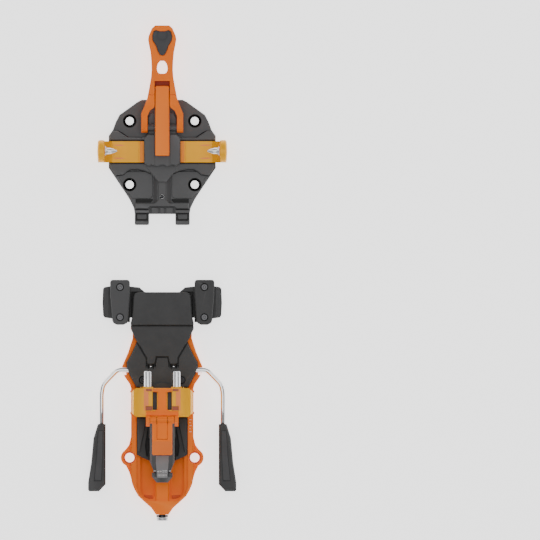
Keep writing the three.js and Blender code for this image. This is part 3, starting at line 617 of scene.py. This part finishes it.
# The raised moulded panel of a brake grip, and painted shade in the groove around it
GRIP_INLAYS = {
    "grip_groove": Inlay(
        [(49, -23.5), (53.3, -23.5), (54.9, -46), (56.8, -65.8), (50.1, -65.8), (49, -44)],
        (13.6, 14.86), GROOVE_SHADE, 0.03,
    ),
    "grip_panel": Inlay(
        [(49.4, -24), (52.9, -24), (54.4, -46), (56.2, -64.8), (50.6, -64.8), (49.5, -44)],
        (13.6, 14.98), RUBBER, 0.3,
    ),
}
PEDAL_SEAM_STRIP = Inlay(rectangle(-25.8, 25.8, 61.6, 66), (4.2, 4.56), RUBBER, 0.05)

RISER_WALL = Inlay(rectangle(4.4, 4.75, -31, -18.5), RISER_WINDOW, FINISHES["orange_alloy"], 0.02)
RISER_END = Inlay(rectangle(-4.7, 4.7, -31.4, -31.08), RISER_WINDOW, FINISHES["orange_alloy"], 0.02)
RISER_TREAD = Inlay(
    [(-7.6, -32.6), (7.6, -32.6), (7.6, -43.0), (7.0, -43.4), (-7.0, -43.4), (-7.6, -43.0)],
    (51.8, 52.3), TREAD, 0.08,
)


def add_brake_wires():
    """Each wire runs from its cranked end in the pedal out to the ski's edge and back."""
    z = pivot("brake_hinge").z / MM
    corners = [(9.5, 47), (9.5, 26.6), (37.3, 26.6), (48.9, 14.4), (50.3, 7), (50.3, -57)]
    for hand, side in HANDS:
        path = rounded([heel(side * x, y, z) for x, y in corners], WIRE_BEND)
        wire = show(f"wire_{hand}", tube(path, WIRE_RADIUS, 20, "wire"), "brake", "chromed_wire")
        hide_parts(f"brake_wire_{hand}")


def add_wire_sleeves():
    """The sleeves that hold each wire in the pedal: one on the hinge, one on the cranked end."""
    centre = pivot("brake_hinge")
    on_hinge = [
        (SLEEVE_BORE, 7.4), (3.0, 7.4), (3.3, 7.7), (3.3, 11.3), (3.0, 11.6), (SLEEVE_BORE, 11.6),
        (SLEEVE_BORE, 7.4),
    ]
    on_crank = [
        (2.1, 29.7), (2.2, 29.7), (2.25, 29.9), (2.25, 31.3), (2.2, 31.5), (2.1, 31.5), (2.1, 29.7),
    ]
    for hand, side in HANDS:
        mesh = lathe(on_hinge, (0, centre.y, centre.z), (side, 0, 0), 32)
        show(f"wire_sleeve_{hand}", mesh, "brake", "dark_plastic")
        mesh = lathe(on_crank, heel(side * 9.5, 0, centre.z / MM), (0, 1, 0), 32)
        show(f"crank_sleeve_{hand}", mesh, "brake", "dark_plastic")


def add_spring(node, name, start, direction, radius, length, turns, wire_radius, body):
    mesh = tube(helix(start, direction, radius, length, turns), wire_radius, 10, name)
    spring = show(name, mesh, body, "bright_steel")
    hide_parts(node)
    return spring


def add_springs():
    hinge = pivot("wing_right_hinge").z / MM
    for place, y in (("front", 4.2), ("rear", -5.8)):
        add_spring(
            f"wing_spring_{place}", f"spring_{place}", toe(-5.4, y, hinge), (1, 0, 0),
            radius=1.8, length=10.8, turns=9, wire_radius=0.38, body="bases",
        )
    brake = pivot("brake_hinge")
    add_spring(
        "brake_spring", "spring_brake", (-4.4 * MM, brake.y, brake.z), (1, 0, 0),
        radius=2.7, length=8.8, turns=7, wire_radius=0.42, body="bases",
    )
    axis = pivot("release_nut_turn").z
    coil = add_spring(
        "release_spring", "spring_release", heel(0, -36.3, axis / MM), (0, 1, 0),
        radius=4.6, length=20.8, turns=8, wire_radius=0.85, body="turret",
    )
    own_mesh(coil)


def add_lead_screw():
    """The length screw: its head with a shoulder, and its rolled thread."""
    z = pivot("lead_screw_turn").z / MM
    head = [
        (0, -96.6), (2.3, -96.6), (2.5, -98.3), (3.9, -98.5), (4.5, -98.0), (4.55, -95.9),
        (4.3, -95.7), (0, -95.7),
    ]
    mesh = lathe(head, heel(0, 0, z), (0, 1, 0))
    show("screw_head", mesh, "lead_screw", "bright_steel", DULL_STEEL)

    sides, pitch, root_radius, thread_depth = 20, 2.0, 2.45, 0.5
    start, end = -95.7, -10.0
    steps = int((end - start) / pitch * 5)
    sections = []
    for i in range(steps + 1):
        along = start + (end - start) * i / steps
        section = []
        for k in range(sides):
            phase = (along / pitch - k / sides) % 1
            radius = root_radius + thread_depth * (1 - abs(2 * phase - 1))
            angle = 2 * math.pi * k / sides
            section.append(heel(radius * math.cos(angle), along, z + radius * math.sin(angle)))
        sections.append(section)
    mesh = skin(sections, "thread")
    thread = show("screw_thread", mesh, "lead_screw", "bright_steel", smooth=False)
    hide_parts("lead_screw")


def add_ear_seats():
    # Painted shade lining the seats of the ear holes
    seat = [
        (3.95, 0.6), (3.95, 2.7), (4.95, 3.45), (5.0, 4.08), (5.3, 4.08), (5.3, 0.6), (3.95, 0.6),
    ]
    x, y = EAR_HOLE
    for hand, side in HANDS:
        mesh = lathe(seat, heel(side * x, y), (0, 0, 1), 40)
        show(f"ear_seat_{hand}", mesh, "bases", "orange_alloy", ORANGE_SHADE)


def add_turret_inlays():
    """Copper-coloured pin covers, dark windows, and painted shade on the pin lips and in the catch pockets of the
    gold turret.
    """
    for hand, side in HANDS:
        for name, inlay in TURRET_INLAYS.items():
            slot = TURRET_SLOTS.get(name, "gold_alloy")
            add_inlay(f"{name}_{hand}", heel, inlay, "turret", slot, side)


def add_nut_knurl():
    """Ridges round the rim of the release adjuster."""
    axis = pivot("release_nut_turn").z / MM
    ridges, foot, crest = 32, (8.2, 0.42), (8.6, 0.24)      # radius and half width
    bm = bmesh.new()
    for k in range(ridges):
        angle = 2 * math.pi * k / ridges
        corners = []
        for radius, half_width in (foot, (foot[0], -foot[1]), (crest[0], -crest[1]), crest):
            a = angle + half_width / radius
            corners.append((radius * math.cos(a), axis + radius * math.sin(a)))
        near, far = ([bm.verts.new(heel(x, y, z)) for x, z in corners] for y in (-59.0, -61.9))
        bm.faces.new(near)
        bm.faces.new(far)
        for i in range(4):
            after = (i + 1) % 4
            bm.faces.new([near[i], near[after], far[after], far[i]])
    mesh = closed(bm, "knurl")
    show("nut_knurl", mesh, "release_nut", "dark_plastic", smooth=False)


def add_riser_lining():
    """The lining of the low riser's window, and the darker tread at its end."""
    add_pairs(heel, {"window_wall": RISER_WALL}, "riser_low", "orange_alloy")
    add_inlay("window_end", heel, RISER_END, "riser_low", "orange_alloy")
    add_inlay("riser_tread", heel, RISER_TREAD, "riser_low", "orange_alloy")


# ---- Scales -------------------------------------------------------------------------------

SCALE_FIGURES = ("6", "9", "12", "15")
SCALE_START_X = -3.3
FIGURE_PITCH = 2.2
MARK_PITCH = 1.1
MARK_COUNT = 7
PRINT_THICKNESS = 0.06
FIGURE_RELIEF = 0.04


def add_figure(name, text, place, size_mm, turn, body, slot):
    """Small raised figures, as a mesh."""
    curve = bpy.data.curves.new(name, "FONT")
    curve.body = text
    curve.size = size_mm * MM
    curve.extrude = FIGURE_RELIEF * MM
    curve.align_x = "CENTER"
    curve.align_y = "CENTER"
    curve.resolution_u = 3
    writing = bpy.data.objects.new(name + "_curve", curve)
    bpy.context.scene.collection.objects.link(writing)
    bpy.context.view_layer.update()
    evaluated = writing.evaluated_get(bpy.context.evaluated_depsgraph_get())
    mesh = bpy.data.meshes.new_from_object(evaluated)
    bpy.data.objects.remove(writing)
    cos, sin = math.cos(turn), math.sin(turn)
    for vertex in mesh.vertices:
        x, y, z = vertex.co
        vertex.co = (place.x + x * cos - y * sin, place.y + x * sin + y * cos, place.z + z)
    mesh.materials.clear()
    show(name, mesh, body, slot, WHITE_PRINT, smooth=False)


def add_index_line(hand, side, top, drop=1.62):
    """A printed line on the slope beside the panel; the slope falls by drop over its width."""
    foot = top - drop
    corners = [(5.5, -56.9, top), (7.2, -56.9, foot), (7.2, -57.5, foot), (5.5, -57.5, top)]
    bm = bmesh.new()
    bm.faces.new([bm.verts.new(heel(side * x, y, z)) for x, y, z in corners])
    bmesh.ops.solidify(bm, geom=bm.faces[:], thickness=PRINT_THICKNESS * MM)
    mesh = closed(bm, "line")
    show(f"index_line_{hand}", mesh, "turret", "dark_plastic", WHITE_PRINT, smooth=False)


def add_release_scale():
    """The textured panel on the spring housing with its release value scale."""
    top = top_mm("spring_housing")
    face = top + 0.14
    outline = [
        (-5.3, -44.4), (5.3, -44.4), (5.3, -50.6), (4.6, -57.9), (-4.6, -57.9), (-5.3, -50.6),
    ]
    panel = Inlay(outline, (top - 0.3, face), PANEL, 0.06)
    add_inlay("scale_panel", heel, panel, "turret", "dark_plastic")
    outline = [(-4.6, -57.8), (4.6, -57.8), (4.4, -62.4), (3.8, -63), (-3.8, -63), (-4.4, -62.4)]
    tongue = Inlay(outline, (top - 1.2, face), PANEL, 0.1)
    add_inlay("scale_tongue", heel, tongue, "turret", "dark_plastic")
    for i, text in enumerate(SCALE_FIGURES):
        place = heel(SCALE_START_X + FIGURE_PITCH * i, -57.6, top + 0.16)
        add_figure(f"scale_figure_{i}", text, place, 2.2, math.pi / 2, "turret", "dark_plastic")
    for i in range(MARK_COUNT):
        x = SCALE_START_X + MARK_PITCH * i
        outline = rectangle(x - 0.12, x + 0.12, -61.6, -60)
        mark = Inlay(outline, (top + 0.1, top + 0.2), WHITE_PRINT, 0.01)
        add_inlay(f"scale_mark_{i}", heel, mark, "turret", "dark_plastic")
    for hand, side in HANDS:
        add_index_line(hand, side, top)


def add_length_marks(first=-14.5, pitch=2.5, count=5):
    """Tick marks of the length adjustment on the right-hand rail, every other one longer."""
    top = top_mm("heel_base")
    for i in range(count):
        y = first - pitch * i
        end = 23.6 if i % 2 else 24.4
        mark = Inlay(rectangle(22.6, end, y - 0.35, y), (top - 0.1, top + 0.05), WHITE_PRINT, 0.01)
        add_inlay(f"length_mark_{i}", heel, mark, "bases", "orange_alloy")


# ---- The whole model ----------------------------------------------------------------------

add_brake_wires()
add_toe_pins()
add_pin_collars()
add_pairs(toe, WING_INLAYS, "wing_{hand}", "gold_alloy")
add_pairs(toe, TOE_BASE_INLAYS, "bases", "grey_alloy")
add_neck_flanks()
add_turret_inlays()
add_pairs(heel, BEAM_INLAYS, "brake", "dark_plastic")
add_pairs(heel, BASE_INLAYS, "bases", "orange_alloy")
add_wire_sleeves()
add_pairs(heel, GRIP_INLAYS, "brake", "dark_plastic")
add_inlay("pedal_seam_strip", heel, PEDAL_SEAM_STRIP, "brake", "dark_plastic")
add_rivet_gap_shade()
add_springs()
add_lead_screw()
add_toe_hole_seats()
add_ear_seats()
add_inlay("block_sill", toe, BLOCK_SILL, "bases", "grey_alloy")
add_pairs(toe, LEVER_INLAYS, "lever", "orange_alloy")
add_inlay("lever_web_face", toe, LEVER_WEB, "lever", "orange_alloy")
add_nut_knurl()
add_release_scale()
add_length_marks()
add_riser_lining()


# ---- Floor, light and camera --------------------------------------------------------------

FLOOR_SIDE = 6
FLOOR_GAP = 0.0003       # the floor lies this far below the part
VIEW_SIDE = 0.4479       # side of the square that the camera takes in
LEFT_MARGIN = 0.0894     # the binding stands this far left of the middle of the view
CAMERA_PLACE = (LEFT_MARGIN, 0.0025, 1.5)

# name: (place, side of the square lamp, power)
LIGHTS = {
    "overhead": ((0.0, 0.05, 1.6), 1.3, 10),
    "front_left": ((-1.1, 0.9, 0.9), 0.8, 4),
    "front_right": ((1.2, 0.7, 0.8), 0.8, 4),
    "rear": ((0.1, -1.3, 0.7), 0.9, 3),
}
LAMP_AIM = Vector((0, 0, 0))
SKY_STRENGTH = 0.32
FLOOR_GLOW = 1.7


def add_floor():
    """A plain pale floor that glows, so that it stays pale all the way to the part."""
    floor_z = cad_box[0][2] - FLOOR_GAP
    bpy.ops.mesh.primitive_plane_add(size=FLOOR_SIDE, location=(0, 0, floor_z))
    floor = bpy.context.object
    floor.name = "floor"
    finish = Finish("floor", (0.93, 0.93, 0.93), 0.9, specular=0.1)
    finish.paint(finish.vary(per_metre=3, amount=0.005))
    finish.shader.inputs["Emission Color"].default_value = (1, 1, 1, 1)
    finish.shader.inputs["Emission Strength"].default_value = FLOOR_GLOW
    floor.data.materials.append(finish.material)


def add_lights():
    """Square lamps that face the middle of the part, and an even sky."""
    for name, (place, side, power) in LIGHTS.items():
        data = bpy.data.lights.new(name, "AREA")
        data.shape = "SQUARE"
        data.size = side
        data.energy = power
        lamp = bpy.data.objects.new(name, data)
        lamp.location = place
        lamp.rotation_euler = (LAMP_AIM - Vector(place)).to_track_quat("-Z", "Y").to_euler()
        bpy.context.scene.collection.objects.link(lamp)
    world = bpy.data.worlds.new("studio")
    world.use_nodes = True
    sky = world.node_tree.nodes["Background"]
    sky.inputs["Color"].default_value = (1, 1, 1, 1)
    sky.inputs["Strength"].default_value = SKY_STRENGTH
    bpy.context.scene.world = world


def add_camera():
    """A camera straight above, without perspective."""
    data = bpy.data.cameras.new("camera")
    data.type = "ORTHO"
    data.ortho_scale = VIEW_SIDE
    camera = bpy.data.objects.new("camera", data)
    camera.location = CAMERA_PLACE
    bpy.context.scene.collection.objects.link(camera)
    bpy.context.scene.camera = camera


add_floor()
add_lights()
add_camera()
